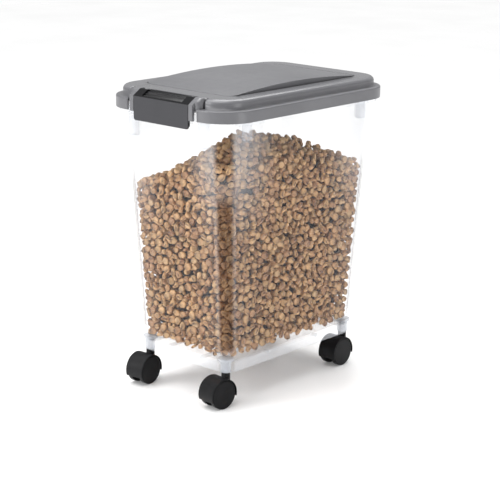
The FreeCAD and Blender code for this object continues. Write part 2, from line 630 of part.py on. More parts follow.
def make_hood(label, place):
    hood = caster_body(label, place)
    inner = "(hood_radius - hood_wall)"
    web = new_sketch(hood, "YZ_Plane")
    add_sector(web, "hood_radius", None)
    pad(hood, web, "2 * web_half", both_ways=True)
    hub = new_sketch(hood, "YZ_Plane")
    add_circle(hub, "-caster_trail", "wheel_radius", "hub_radius + 2")
    pad(hood, hub, "2 * web_half", both_ways=True)
    shell = new_sketch(hood, "YZ_Plane")
    add_sector(shell, "hood_radius", inner)
    pad(hood, shell, "2 * (wheel_outer + hood_lip)", both_ways=True)
    neck = new_sketch(hood, "XY_Plane", "stem_bottom - stem_seat")
    add_circle(neck, "0", "0", "neck_radius")
    pad(hood, neck, "neck_z - stem_bottom + stem_seat")
    stem_bore = new_sketch(hood, "XY_Plane", "stem_bottom - stem_seat / 2")
    add_circle(stem_bore, "0", "0", "stem_radius + running_gap")
    cut(hood, stem_bore, "neck_z - stem_bottom + stem_seat")
    axle_bore = new_sketch(hood, "YZ_Plane")
    add_circle(axle_bore, "-caster_trail", "wheel_radius", "axle_radius")
    cut(hood, axle_bore, "2 * web_half + 2", both_ways=True)
    rim = value("hood_radius * 1.5")
    rounded(hood, "hood_round", lambda box: abs(box.XMin) > value("wheel_outer")
            and box.XLength < 0.01 and max(box.YLength, box.ZLength) > rim)
    return hood


def add_sector(sketch, outer, inner):
    """A pie slice about the axle, or with an inner radius a slice of a ring."""
    middle = FreeCAD.Vector(value("-caster_trail"), value("wheel_radius"), 0)
    to_radians = FreeCAD.Units.Quantity("1 deg").getValueAs("rad").Value

    def spoke(radius, angle):
        turn = FreeCAD.Rotation(Z_AXIS, value(angle))
        return middle + turn.multVec(FreeCAD.Vector(value(radius), 0, 0))

    def arc(radius):
        """An arc from the rear spoke to the front one, its centre and both ends held."""
        index = sketch.addGeometry(Part.ArcOfCircle(
            Part.Circle(middle, Z_AXIS, value(radius)),
            value("hood_rear_angle") * to_radians, value("hood_front_angle") * to_radians))
        hold(sketch, "DistanceX", -1, 1, index, 3, formula="-caster_trail")
        hold(sketch, "DistanceY", -1, 1, index, 3, formula="wheel_radius")
        for point, kind, along, angle in ((1, "DistanceX", "-caster_trail", "cos(hood_rear_angle)"),
                                          (1, "DistanceY", "wheel_radius", "sin(hood_rear_angle)"),
                                          (2, "DistanceX", "-caster_trail", "cos(hood_front_angle)")):
            hold(sketch, kind, -1, 1, index, point, formula=f"{along} + ({radius}) * {angle}")
        return index

    def join(start, end, *meetings):
        sketch.addGeometry(Part.LineSegment(start, end))
        for meeting in meetings:
            sketch.addConstraint(Sketcher.Constraint("Coincident", *meeting))

    outside = arc(outer)
    if inner is None:
        join(spoke(outer, "hood_front_angle"), middle, (1, 1, outside, 2), (1, 2, outside, 3))
        join(middle, spoke(outer, "hood_rear_angle"), (2, 1, outside, 3), (2, 2, outside, 1))
        return
    inside = arc(inner)
    join(spoke(outer, "hood_front_angle"), spoke(inner, "hood_front_angle"),
         (2, 1, outside, 2), (2, 2, inside, 2))
    join(spoke(inner, "hood_rear_angle"), spoke(outer, "hood_rear_angle"),
         (3, 1, inside, 1), (3, 2, outside, 1))


def make_wheel(label, place, side):
    """A dished wheel; side is the sign of X that its closed face looks to."""
    wheel = caster_body(label, place)
    sketch = new_sketch(wheel, "XY_Plane", "wheel_radius")
    bind(sketch, AttachmentOffset__Base__y="-caster_trail")
    start, end = f"{side}wheel_inner", f"{side}wheel_outer"
    face, cover = f"{side}(wheel_outer - wheel_face)", f"{side}(wheel_outer - axle_cover)"
    edge, corner = f"{side}(wheel_outer - wheel_round)", "wheel_radius - wheel_round"
    add_polygon(sketch, [(start, "axle_radius + running_gap"), (start, "hub_radius"),
                         (face, "hub_radius"), (face, "wheel_radius - tread_thickness"),
                         (start, "wheel_radius - tread_thickness"), (start, "wheel_radius"),
                         (edge, "wheel_radius"), (end, corner), (end, "0"), (cover, "0"),
                         (cover, "axle_radius + running_gap")])
    turned(wheel, sketch)
    return wheel


def make_sleeve(label, place):
    sleeve = caster_body(label, place)
    sketch = new_sketch(sleeve, "XY_Plane", "boss_z")
    add_circle(sketch, "0", "0", "sleeve_radius")
    add_circle(sketch, "0", "0", "stem_radius")
    pad(sleeve, sketch, "socket_depth")


def make_caster(name, place):
    stem = rod(f"stem_{name}", "stem_radius", "boss_z + socket_depth - stem_bottom", "0", "0", "0")
    put_at_caster(stem, place, "stem_bottom")
    make_sleeve(f"stem_sleeve_{name}", place)
    make_hood(f"caster_hood_{name}", place)
    axle = caster_body(f"caster_axle_{name}", place)
    sketch = new_sketch(axle, "YZ_Plane")
    add_circle(sketch, "-caster_trail", "wheel_radius", "axle_radius")
    pad(axle, sketch, "2 * (wheel_outer - axle_cover - stem_seat / 2)", both_ways=True)
    make_wheel(f"wheel_{name}_a", place, "")
    make_wheel(f"wheel_{name}_b", place, "-")


# ---------------------------------------------------------------- the whole bin

make_tub()
make_lid()
make_gasket()
make_latch()
make_pins()
for corner, corner_place in {"front_right": ("", "-", "turn_front_right"),
                             "front_left": ("-", "-", "turn_front_left"),
                             "rear_right": ("", "", "turn_rear_right"),
                             "rear_left": ("-", "", "turn_rear_left")}.items():
    make_caster(corner, corner_place)
doc.recompute()

for item in doc.Objects:
    if "Invalid" in item.State or "Error" in item.State:
        raise ValueError(f"{item.Label} did not recompute: {item.State}")
parts = [item for item in doc.Objects if item.TypeId in ("PartDesign::Body", "Part::Cylinder")]
for part in parts:
    if part.Shape.isNull() or not part.Shape.isValid() or len(part.Shape.Solids) != 1:
        raise ValueError(f"{part.Label} is not one valid solid")

os.makedirs("parts", exist_ok=True)
for part in parts:
    part.Shape.exportStep(f"parts/{part.Label}.step")
    box = part.Shape.optimalBoundingBox(False, False)
    print(f"{part.Label:28s} volume {part.Shape.Volume / 1000:9.2f} cm3   "
          f"z {box.ZMin:7.2f} to {box.ZMax:7.2f}")
whole = Part.makeCompound([part.Shape for part in parts]).optimalBoundingBox(False, False)
print(f"whole bin: {whole.XLength:.1f} x {whole.YLength:.1f} x {whole.ZLength:.1f} mm, "
      f"y {whole.YMin:.2f} to {whole.YMax:.2f}")
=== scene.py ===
import bpy
import bmesh
import json
import math
from mathutils import Matrix, Quaternion, Vector

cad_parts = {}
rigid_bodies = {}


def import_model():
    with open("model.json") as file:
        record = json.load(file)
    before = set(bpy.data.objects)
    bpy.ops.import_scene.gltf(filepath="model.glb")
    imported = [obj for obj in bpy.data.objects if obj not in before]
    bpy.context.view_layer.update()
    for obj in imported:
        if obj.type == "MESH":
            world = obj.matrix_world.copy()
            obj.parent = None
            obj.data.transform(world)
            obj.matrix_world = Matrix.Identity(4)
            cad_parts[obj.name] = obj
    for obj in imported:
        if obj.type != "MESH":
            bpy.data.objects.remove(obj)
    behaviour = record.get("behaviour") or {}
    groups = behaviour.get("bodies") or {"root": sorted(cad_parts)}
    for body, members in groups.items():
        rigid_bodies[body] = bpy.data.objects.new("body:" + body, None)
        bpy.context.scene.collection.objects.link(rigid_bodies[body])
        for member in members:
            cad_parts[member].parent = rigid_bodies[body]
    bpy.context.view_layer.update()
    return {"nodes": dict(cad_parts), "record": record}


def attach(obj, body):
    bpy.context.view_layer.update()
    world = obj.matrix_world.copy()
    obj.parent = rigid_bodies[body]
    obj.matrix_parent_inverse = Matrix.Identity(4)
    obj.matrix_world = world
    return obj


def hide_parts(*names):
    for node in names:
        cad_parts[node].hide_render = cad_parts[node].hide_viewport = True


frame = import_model()
bodyOf = {node: body for body, members in frame["record"]["behaviour"]["bodies"].items() for node in members}
slotOf = {part["node"]: part["material_slot"] for part in frame["record"]["subparts"]}
scene = bpy.context.scene
print("frame loaded,", len(frame["nodes"]), "nodes")


class Wire:  # a shader socket that Python's own operators work on
    def __init__(self, tree, socket):
        self.tree = tree
        self.socket = socket

    def maths(self, operation, other=None, flip=False):
        node = self.tree.nodes.new("ShaderNodeMath")
        node.operation = operation
        terms = (other, self) if flip else (self, other)
        for socket, term in zip(node.inputs, terms):
            if isinstance(term, Wire):
                self.tree.links.new(term.socket, socket)
            elif term is not None:
                socket.default_value = term
        return Wire(self.tree, node.outputs[0])

    def __add__(self, other):
        return self.maths("ADD", other)

    def __sub__(self, other):
        return self.maths("SUBTRACT", other)

    def __rsub__(self, other):
        return self.maths("SUBTRACT", other, flip=True)

    def __mul__(self, other):
        return self.maths("MULTIPLY", other)

    def __abs__(self):
        return self.maths("ABSOLUTE")

    __radd__ = __add__
    __rmul__ = __mul__


class Finish:  # a material built up node by node
    def __init__(self, name):
        self.material = bpy.data.materials.new(name)
        self.material.use_nodes = True
        self.tree = self.material.node_tree
        self.tree.nodes.clear()
        self.place = self.add("ShaderNodeTexCoord", out="Object")

    def add(self, kind, settings=None, sockets=None, out=0):
        node = self.tree.nodes.new(kind)
        for name, setting in (settings or {}).items():
            setattr(node, name, setting)
        for name, term in (sockets or {}).items():
            if isinstance(term, Wire):
                self.tree.links.new(term.socket, node.inputs[name])
            else:
                node.inputs[name].default_value = term
        return Wire(self.tree, node.outputs[out]) if len(node.outputs) else None

    def noise(self, scale, detail=2.0, rough=0.5, vector=None):
        return self.add("ShaderNodeTexNoise", sockets={"Vector": vector or self.place, "Scale": scale,
                                                       "Detail": detail, "Roughness": rough})

    def blend(self, factor, low, high):
        return self.add("ShaderNodeMix", {"data_type": "RGBA"}, {0: factor, 6: low, 7: high}, out=2)

    def spread(self, wire, lowIn, highIn, lowOut=0.0, highOut=1.0):
        return self.add("ShaderNodeMapRange", {"clamp": True, "interpolation_type": "SMOOTHSTEP"},
                        {"Value": wire, "From Min": lowIn, "From Max": highIn,
                         "To Min": lowOut, "To Max": highOut})

    def axes(self, wire):
        node = self.tree.nodes.new("ShaderNodeSeparateXYZ")
        self.tree.links.new(wire.socket, node.inputs[0])
        return [Wire(self.tree, socket) for socket in node.outputs]

    def bump(self, height, depth, strength=1.0):
        return self.add("ShaderNodeBump", sockets={"Height": height, "Distance": depth, "Strength": strength})

    def close(self, **sockets):
        named = {name.replace("_", " "): term for name, term in sockets.items()}
        shader = self.add("ShaderNodeBsdfPrincipled", sockets=named)
        self.add("ShaderNodeOutputMaterial", sockets={"Surface": shader})
        return self.material


lidLook = {"light": (0.150, 0.150, 0.160, 1), "dark": (0.120, 0.120, 0.129, 1), "rough": 0.36,
           "grain": 1500.0, "grainDepth": 0.00005, "hollow": 0.005,
           "border": (0.17, 0.17, 0.18, 1), "borderRough": 0.20, "borderZ": 0.5035, "panelX": 0.0985,
           "panelFront": -0.1545, "panelRear": 0.1615, "nose": (0.010, 0.010, 0.011, 1), "noseX": 0.0445,
           "noseY": -0.1855, "noseZ": 0.5082}


def makeLidGrey():
    skin = Finish("lidGrey")
    cloud = skin.noise(9.0, 3.0)
    grain = skin.noise(lidLook["grain"], 2.0)
    shade = skin.spread(cloud * 0.7 + grain * 0.3, 0.3, 0.7)
    # painted shade: ambient occlusion darkens the lid's colour towards near black in grooves and creases
    hollow = skin.add("ShaderNodeAmbientOcclusion", {"samples": 8}, {"Distance": lidLook["hollow"]}, out="AO")
    x, y, z = skin.axes(skin.place)
    onPanel = (skin.spread(abs(x), lidLook["panelX"], lidLook["panelX"] + 0.0004, 1.0, 0.0)
               * skin.spread(y, lidLook["panelFront"] - 0.0004, lidLook["panelFront"])
               * skin.spread(y, lidLook["panelRear"], lidLook["panelRear"] + 0.0004, 1.0, 0.0))
    # painted sheen: the top border around the panel is glossier and is also painted a lighter grey, standing
    # in for the light it catches
    polishAndPaintedSheen = skin.spread(z, lidLook["borderZ"], lidLook["borderZ"] + 0.004) * (1.0 - onPanel)
    colour = skin.blend(shade, lidLook["dark"], lidLook["light"])
    colour = skin.blend(polishAndPaintedSheen, colour, lidLook["border"])
    # the lid's nose behind the latch window is coloured near black
    nose = (skin.spread(abs(x), lidLook["noseX"], lidLook["noseX"] + 0.0005, 1.0, 0.0)
            * skin.spread(y, lidLook["noseY"], lidLook["noseY"] + 0.0005, 1.0, 0.0)
            * skin.spread(z, lidLook["noseZ"], lidLook["noseZ"] + 0.0004, 1.0, 0.0)
            * skin.spread(z, 0.4885, 0.489))
    colour = skin.blend(nose, colour, lidLook["nose"])
    rough = lidLook["rough"] - polishAndPaintedSheen * (lidLook["rough"] - lidLook["borderRough"])
    return skin.close(Base_Color=skin.blend(skin.spread(hollow, 0.25, 0.85), (0.02, 0.02, 0.022, 1), colour),
                      Roughness=rough + 0.1 * (skin.noise(60.0, 3.0) - 0.5) + 0.08 * (grain - 0.5),
                      Normal=skin.bump(grain, lidLook["grainDepth"]), Coat_Weight=0.15, Coat_Roughness=0.22)


latchLook = {"plate": (0.042, 0.042, 0.047, 1), "slope": (0.008, 0.008, 0.009, 1),
             "plateRough": 0.46, "slopeRough": 0.16, "grain": 1800.0, "grainDepth": 0.00003}


def makeLatchBlack():
    skin = Finish("latchBlack")
    normal = skin.axes(skin.add("ShaderNodeTexCoord", out="Normal"))
    # faces turned to the front are rougher, a real finish, and are painted a lighter grey, a painted sheen
    # for the light they catch; the rest stays glossy black
    front = skin.spread(normal[1] * -1.0, 0.86, 0.97)
    grain = skin.noise(latchLook["grain"])
    tone = front * (0.86 + 0.28 * skin.noise(30.0, 3.0))
    rough = front * (latchLook["plateRough"] - latchLook["slopeRough"]) + latchLook["slopeRough"]
    return skin.close(Base_Color=skin.blend(tone, latchLook["slope"], latchLook["plate"]),
                      Roughness=rough + 0.08 * (grain - 0.5), Specular_IOR_Level=0.3,
                      Normal=skin.bump(grain * front, latchLook["grainDepth"]))


def makeGrained(name, tone, rough, grainScale, grainDepth, gloss=0.5):
    skin = Finish(name)
    grain = skin.noise(grainScale, 3.0, 0.6)
    cloud = skin.noise(70.0, 2.0)
    dark = [part * 0.75 for part in tone] + [1]
    light = [part * 1.25 for part in tone] + [1]
    return skin.close(Base_Color=skin.blend(skin.spread(cloud, 0.3, 0.7), dark, light),
                      Specular_IOR_Level=gloss, Roughness=rough + 0.14 * (grain - 0.5) + 0.1 * (cloud - 0.5),
                      Normal=skin.bump(grain, grainDepth))


def makeSteel():
    skin = Finish("zincSteel")
    place = skin.add("ShaderNodeMapping", sockets={"Vector": skin.place, "Scale": (1.0, 1.0, 0.08)})
    lines = skin.noise(2600.0, 2.0, vector=place)
    return skin.close(Base_Color=skin.blend(lines, (0.5, 0.5, 0.52, 1), (0.68, 0.68, 0.7, 1)),
                      Metallic=1.0, Roughness=0.28 + 0.16 * lines, Normal=skin.bump(lines, 0.00002))


def makeFoam():
    skin = Finish("sealFoam")
    cells = skin.add("ShaderNodeTexVoronoi", sockets={"Vector": skin.place, "Scale": 1400.0})
    return skin.close(Base_Color=skin.blend(cells, (0.62, 0.62, 0.63, 1), (0.8, 0.8, 0.81, 1)),
                      Roughness=0.85, Normal=skin.bump(cells, 0.0001))


hazeLook = {"tint": (0.90, 0.93, 0.98, 1), "low": 0.016, "beside": 0.02, "high": 0.13, "top": (0.26, 0.43),
            "fade": 0.085, "halfX": 0.106, "halfY": 0.176, "turn": (0.16, 0.44), "corner": 0.24,
            "clear": 0.01, "deep": (0.09, 0.035, 0.012, 1), "shadeTop": (0.33, 0.40),
            "shadeFoot": (0.080, 0.10),
            "foot": 0.16, "footZ": (0.074, 0.080), "rim": 0.35, "rimPower": 4.0, "ripple": 0.0004}


def makeClearPlastic():
    # thin haze on the flat walls, strongest beside the corners and near the top, partly the plastic's own
    # milkiness and partly painted reflection of the bright studio, and dark tinted corners of painted shade
    skin = Finish("clearPlastic")
    x, y, z = skin.axes(skin.place)
    normal = skin.axes(skin.add("ShaderNodeTexCoord", out="Normal"))
    corner = skin.spread(abs(normal[0] * normal[1]), *hazeLook["turn"])
    fromCornerX = skin.spread(hazeLook["halfX"] - abs(x), 0.0, hazeLook["fade"], 1.0, 0.0)
    fromCornerY = skin.spread(hazeLook["halfY"] - abs(y), 0.0, hazeLook["fade"] * 1.5, 1.0, 0.0)
    beside = fromCornerX * fromCornerY
    rise = skin.spread(z, *hazeLook["top"])
    cloud = 0.75 + 0.5 * skin.noise(7.0, 2.0)
    # the base skirt is thicker to look through
    foot = skin.spread(z, *hazeLook["footZ"], hazeLook["foot"], 0.0)
    # the white veil is partly real haze and partly painted reflection
    hazeAndPaintedReflection = (hazeLook["low"] + foot + beside * (hazeLook["beside"] + rise * hazeLook["high"])) * cloud
    edge = skin.add("ShaderNodeLayerWeight", sockets={"Blend": 0.5}, out="Facing")
    rim = edge.maths("POWER", hazeLook["rimPower"]) * hazeLook["rim"]
    # painted shade: a dark brown sheet down the corners, from just above the floor, fading out between 0.33
    # and 0.40 m up
    paintedShadeColumn = corner * skin.spread(z, *hazeLook["shadeTop"], 1.0, 0.0) * skin.spread(z, *hazeLook["shadeFoot"])
    alpha = hazeAndPaintedReflection * (1.0 - corner) + paintedShadeColumn * hazeLook["corner"] + corner * hazeLook["clear"] + rim
    ripple = skin.noise(14.0, 1.0)
    return skin.close(Base_Color=skin.blend(paintedShadeColumn, hazeLook["tint"], hazeLook["deep"]),
                      Roughness=0.07 + 0.05 * cloud, Alpha=alpha,
                      Normal=skin.bump(ripple, hazeLook["ripple"]))


def makeFrosted(name, low):
    # thicker places of the same plastic
    skin = Finish(name)
    edge = skin.add("ShaderNodeLayerWeight", sockets={"Blend": 0.5}, out="Facing")
    cloud = skin.noise(45.0, 3.0)
    tint = skin.blend(cloud, (0.66, 0.69, 0.75, 1), (0.80, 0.83, 0.88, 1))
    return skin.close(Base_Color=tint, Roughness=0.18 + 0.15 * cloud,
                      Alpha=low + 0.10 * cloud + 0.4 * edge.maths("POWER", 3.0),
                      Normal=skin.bump(cloud, 0.0003))


lidGrey = makeLidGrey()
latchBlack = makeLatchBlack()
hoodBlack = makeGrained("hoodBlack", (0.0065, 0.0065, 0.0075), 0.42, 1300.0, 0.00010, 0.2)
wheelBlack = makeGrained("wheelBlack", (0.0045, 0.0045, 0.0055), 0.30, 1900.0, 0.00002, 0.14)
sleeveNylon = makeGrained("sleeveNylon", (0.50, 0.51, 0.54), 0.4, 1500.0, 0.00004)
zincSteel = makeSteel()
sealFoam = makeFoam()
clearPlastic = makeClearPlastic()
frostedPlastic = makeFrosted("frostedPlastic", 0.12)
socketPlastic = makeFrosted("socketPlastic", 0.42)
print("finishes made")


def mm(value):
    return value / 1000.0


def newPiece(name, bm, finish, sharp=35.0):
    bmesh.ops.recalc_face_normals(bm, faces=bm.faces)
    mesh = bpy.data.meshes.new(name)
    bm.to_mesh(mesh)
    bm.free()
    mesh.shade_smooth()
    mesh.set_sharp_from_angle(angle=math.radians(sharp))
    mesh.materials.append(finish)
    piece = bpy.data.objects.new(name, mesh)
    scene.collection.objects.link(piece)
    return piece


def settle(piece, body, slot, *nodes):
    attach(piece, body)
    if nodes:
        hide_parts(*nodes)


def roundedRing(halfX, halfY, corner, z, steps=14):
    points = []
    for quarter, (signX, signY) in enumerate(((1, -1), (1, 1), (-1, 1), (-1, -1))):
        for step in range(steps + 1):
            angle = math.radians(90.0 * (quarter - 1 + step / steps))
            points.append(Vector((signX * (halfX - corner) + corner * math.cos(angle),
                                  signY * (halfY - corner) + corner * math.sin(angle), z)))
    return points


def stackRings(bm, rings):
    loops = [[bm.verts.new(point) for point in ring] for ring in rings]
    for low, high in zip(loops, loops[1:]):
        for number in range(len(low)):
            following = (number + 1) % len(low)
            bm.faces.new((low[number], low[following], high[following], high[number]))
    bm.faces.new(list(reversed(loops[0])))
    bm.faces.new(loops[-1])


def lathe(bm, outline, segments, axis="Z"):
    # outline is (radius, height) from pole to pole or a closed loop of rings
    angles = [2 * math.pi * number / segments for number in range(segments)]
    loops = [[bm.verts.new((radius * math.cos(angle), radius * math.sin(angle), height)) for angle in angles]
             for radius, height in outline]
    closed = outline[0][0] > 1e-6 and outline[-1][0] > 1e-6
    pairs = list(zip(loops, loops[1:])) + ([(loops[-1], loops[0])] if closed else [])
    for low, high in pairs:
        for number in range(segments):
            following = (number + 1) % segments
            bm.faces.new((low[number], low[following], high[following], high[number]))
    turn = Matrix.Rotation(math.radians(90), 4, "Y") if axis == "X" else Matrix.Identity(4)
    bmesh.ops.transform(bm, matrix=turn, verts=bm.verts)
    bmesh.ops.remove_doubles(bm, verts=bm.verts, dist=1e-6)
    bmesh.ops.dissolve_degenerate(bm, edges=bm.edges, dist=1e-7)


def box(bm, low, high, bevel):
    corners = bmesh.ops.create_cube(bm, size=1.0)["verts"]
    for vert in corners:
        vert.co = Vector([low[axis] if vert.co[axis] < 0 else high[axis] for axis in range(3)])
    bmesh.ops.bevel(bm, geom=list({edge for vert in corners for edge in vert.link_edges}),
                    offset=bevel, segments=2, affect="EDGES", profile=0.6)


def placesTree(finish):
    # copies a mesh to the points of a grid centred on the bin's middle
    tree = bpy.data.node_groups.new("places", "GeometryNodeTree")
    tree.interface.new_socket("Geometry", in_out="INPUT", socket_type="NodeSocketGeometry")
    for name in ("Span X", "Span Y"):
        tree.interface.new_socket(name, in_out="INPUT", socket_type="NodeSocketFloat")
    for name in ("Count X", "Count Y"):
        tree.interface.new_socket(name, in_out="INPUT", socket_type="NodeSocketInt")
    tree.interface.new_socket("Geometry", in_out="OUTPUT", socket_type="NodeSocketGeometry")
    node = {key: tree.nodes.new(kind) for key, kind in (
        ("given", "NodeGroupInput"), ("grid", "GeometryNodeMeshGrid"),
        ("copies", "GeometryNodeInstanceOnPoints"),
        ("real", "GeometryNodeRealizeInstances"), ("finish", "GeometryNodeSetMaterial"),
        ("result", "NodeGroupOutput"))}
    for name, socket in (("Span X", "Size X"), ("Span Y", "Size Y"),
                         ("Count X", "Vertices X"), ("Count Y", "Vertices Y")):
        tree.links.new(node["given"].outputs[name], node["grid"].inputs[socket])
    tree.links.new(node["grid"].outputs["Mesh"], node["copies"].inputs["Points"])
    tree.links.new(node["given"].outputs["Geometry"], node["copies"].inputs["Instance"])
    tree.links.new(node["copies"].outputs[0], node["real"].inputs[0])
    node["finish"].inputs["Material"].default_value = finish
    tree.links.new(node["real"].outputs[0], node["finish"].inputs["Geometry"])
    tree.links.new(node["finish"].outputs[0], node["result"].inputs[0])
    return tree


def baked(piece, tree, **given):
    # runs a node tree over a piece and keeps the result as its mesh
    modifier = piece.modifiers.new(tree.name, "NODES")
    modifier.node_group = tree
    names = {name.lower(): name for name in given}
    for item in tree.interface.items_tree:
        key = item.name.replace(" ", "").lower()
        if item.in_out == "INPUT" and key in names:
            modifier[item.identifier] = given[names[key]]
    bpy.context.view_layer.update()
    mesh = bpy.data.meshes.new_from_object(piece.evaluated_get(bpy.context.evaluated_depsgraph_get()))
    piece.modifiers.clear()
    piece.data = mesh
    return piece


def spreadOut(piece, finish, spanX, spanY, countX=2, countY=2):
    return baked(piece, placesTree(finish), spanX=spanX, spanY=spanY, countX=countX, countY=countY)


def refined(node, finish, sharp=30.0):
    # a smooth-shaded copy of a frame node, its loose triangles merged
    bm = bmesh.new()
    bm.from_mesh(frame["nodes"][node].data)
    bmesh.ops.remove_doubles(bm, verts=bm.verts, dist=2e-6)
    bmesh.ops.dissolve_degenerate(bm, edges=bm.edges, dist=1e-7)
    mesh = bpy.data.meshes.new(node + "Skin")
    bm.to_mesh(mesh)
    bm.free()
    mesh.shade_smooth()
    mesh.set_sharp_from_angle(angle=math.radians(sharp))
    mesh.materials.clear()
    mesh.materials.append(finish)
    piece = bpy.data.objects.new(node + "Skin", mesh)
    scene.collection.objects.link(piece)
    weighted = piece.modifiers.new("weighted", "WEIGHTED_NORMAL")
    weighted.keep_sharp = True
    settle(piece, bodyOf[node], slotOf[node], node)


def dress(node, finish):
    shown = frame["nodes"][node].data.materials
    shown.clear()
    shown.append(finish)


viewFrom = {"place": (1.7081, -1.8996, 0.9079), "round": 41.93, "up": 15.16, "roll": 0.70, "lens": 111.7,
            "sensor": 36.0}


def makeCamera():
    lens = bpy.data.cameras.new("camera")
    lens.lens = viewFrom["lens"]
    lens.sensor_width = viewFrom["sensor"]
    camera = bpy.data.objects.new("camera", lens)
    scene.collection.objects.link(camera)
    around, above = math.radians(viewFrom["round"]), math.radians(viewFrom["up"])
    back = Vector((math.sin(around) * math.cos(above), -math.cos(around) * math.cos(above), math.sin(above)))
    aim = (-back).to_track_quat("-Z", "Y") @ Quaternion((0, 0, 1), math.radians(viewFrom["roll"]))
    camera.rotation_mode = "QUATERNION"
    camera.rotation_quaternion = aim
    camera.location = viewFrom["place"]
    scene.camera = camera


makeCamera()

tub = {"floorHalf": (104.0, 164.5), "floorCorner": 30.0, "topHalf": (119.0, 193.5), "topCorner": 36.0,
       "floorZ": 74.0, "rimZ": 486.4, "wall": 2.6, "floorThick": 3.0, "insideFillet": 3.5,
       "rimHalf": (133.0, 204.0), "rimCorner": 52.5, "rimThick": 3.0, "lip": 2.5, "lipZ": 468.4,
       "edge": 0.8, "baseZ": 58.0, "baseInset": 1.2}


def wallRing(z, inset=0.0):
    part = (z - tub["floorZ"]) / (tub["rimZ"] - tub["floorZ"])
    halfX, halfY = (low + (high - low) * part - inset for low, high in zip(tub["floorHalf"], tub["topHalf"]))
    corner = tub["floorCorner"] + (tub["topCorner"] - tub["floorCorner"]) * part - inset
    return roundedRing(mm(halfX), mm(halfY), mm(corner), mm(z))


def rimRing(z, inset):
    return roundedRing(mm(tub["rimHalf"][0] - inset), mm(tub["rimHalf"][1] - inset),
                       mm(tub["rimCorner"] - inset), mm(z))


def baseRing(z, inset):
    return roundedRing(mm(tub["floorHalf"][0] - inset), mm(tub["floorHalf"][1] - inset),
                       mm(tub["floorCorner"] - inset), mm(z))


def makeTub():
    rim, wall, edge, lift = tub["rimZ"], tub["wall"], tub["edge"], tub["insideFillet"]
    inFloor = tub["floorZ"] + tub["floorThick"]
    rings = [wallRing(inFloor, 60), wallRing(inFloor, wall + lift)]
    for step in range(1, 6):
        angle = math.radians(90 * step / 5)
        rings.append(wallRing(inFloor + lift * (1 - math.cos(angle)), wall + lift * (1 - math.sin(angle))))
    heights = [inFloor + lift + (rim - edge - inFloor - lift) * step / 10 for step in range(1, 11)]
    rings += [wallRing(z, wall) for z in heights]
    rings += [wallRing(rim - edge * 0.3, wall - edge * 0.3), wallRing(rim, wall - edge)]
    for step in range(4):
        angle = math.radians(90 * step / 3)
        rings.append(rimRing(rim - edge * (1 - math.cos(angle)), edge * (1 - math.sin(angle))))
    for step in range(4):
        angle = math.radians(90 * step / 3)
        rings.append(rimRing(tub["lipZ"] + edge * (1 - math.sin(angle)), edge * (1 - math.cos(angle))))
    rings += [rimRing(tub["lipZ"], tub["lip"] - 0.3), rimRing(tub["lipZ"] + 0.3, tub["lip"]),
              rimRing(rim - tub["rimThick"], tub["lip"])]
    rings += [wallRing(rim - tub["rimThick"] - (rim - tub["rimThick"] - tub["floorZ"] - 0.4) * step / 10)
              for step in range(11)]
    inset = tub["baseInset"]
    rings += [wallRing(tub["floorZ"], 0.4), baseRing(tub["floorZ"], inset),
              baseRing(tub["baseZ"] + 0.5, inset), baseRing(tub["baseZ"], inset + 0.5),
              baseRing(tub["baseZ"], inset + wall - 0.5), baseRing(tub["baseZ"] + 0.5, inset + wall),
              baseRing(tub["floorZ"], inset + wall), baseRing(tub["floorZ"], 60)]
    bm = bmesh.new()
    stackRings(bm, rings)
    shell = newPiece("tubShell", bm, clearPlastic, 28.0)
    settle(shell, "bin", "clear_plastic", "tub")


ribs = {"width": 15.0, "proud": 6.0, "sunk": 1.0, "endX": 78.0, "sideY": 142.0, "endDrop": 52.4,
        "sideDrop": 41.4, "bevel": 1.0}


def makeRibs():
    top, half = tub["rimZ"] - tub["rimThick"], ribs["width"] / 2
    for name, drop, onSide in (("endRibs", ribs["endDrop"], False), ("sideRibs", ribs["sideDrop"], True)):
        bottom = top - drop
        part = (bottom - tub["floorZ"]) / (tub["rimZ"] - tub["floorZ"])
        axis = 0 if onSide else 1
        outer = tub["topHalf"][axis] + ribs["proud"]
        inner = tub["floorHalf"][axis] + (tub["topHalf"][axis] - tub["floorHalf"][axis]) * part - ribs["sunk"]
        depth = (outer - inner) / 2
        size = (depth, half) if onSide else (half, depth)
        bm = bmesh.new()
        box(bm, [mm(-size[0]), mm(-size[1]), mm(bottom)], [mm(size[0]), mm(size[1]), mm(top)],
            mm(ribs["bevel"]))
        piece = newPiece(name, bm, frostedPlastic)
        middle = 2 * mm((outer + inner) / 2)
        spanX, spanY = (middle, mm(2 * ribs["sideY"])) if onSide else (mm(2 * ribs["endX"]), middle)
        settle(spreadOut(piece, frostedPlastic, spanX, spanY), "bin", "clear_plastic")


socketSizes = {"x": 87.4, "y": 150.5, "bottom": 56.4, "boss": 8.75, "bore": 5.5, "capLow": 76.0,
               "capTop": 80.0, "cap": 13.0, "soften": 0.6}


def makeSockets():
    s = socketSizes
    soft = s["soften"]
    outline = [(0, s["capTop"]), (s["cap"] - soft, s["capTop"]), (s["cap"] - 0.2, s["capTop"] - 0.2),
               (s["cap"], s["capTop"] - soft), (s["cap"], s["capLow"] + 0.2), (s["cap"] - 0.2, s["capLow"]),
               (s["boss"] + soft, s["capLow"]), (s["boss"], s["capLow"] - soft),
               (s["boss"], s["bottom"] + soft), (s["boss"] - soft, s["bottom"]),
               (s["bore"] + 0.2, s["bottom"]), (s["bore"], s["bottom"] + 0.2), (s["bore"], s["capLow"]),
               (0, s["capLow"])]
    bm = bmesh.new()
    lathe(bm, [(mm(radius), mm(z)) for radius, z in outline], 48)
    piece = newPiece("casterSockets", bm, socketPlastic)
    settle(spreadOut(piece, socketPlastic, mm(2 * s["x"]), mm(2 * s["y"])), "bin", "clear_plastic")


keels = {"place": 40.0, "width": 5.0, "low": 69.4, "top": 74.0, "halfLength": 160.8,
         "tabY": 62.0, "tabLength": 9.0, "bevel": 0.4}


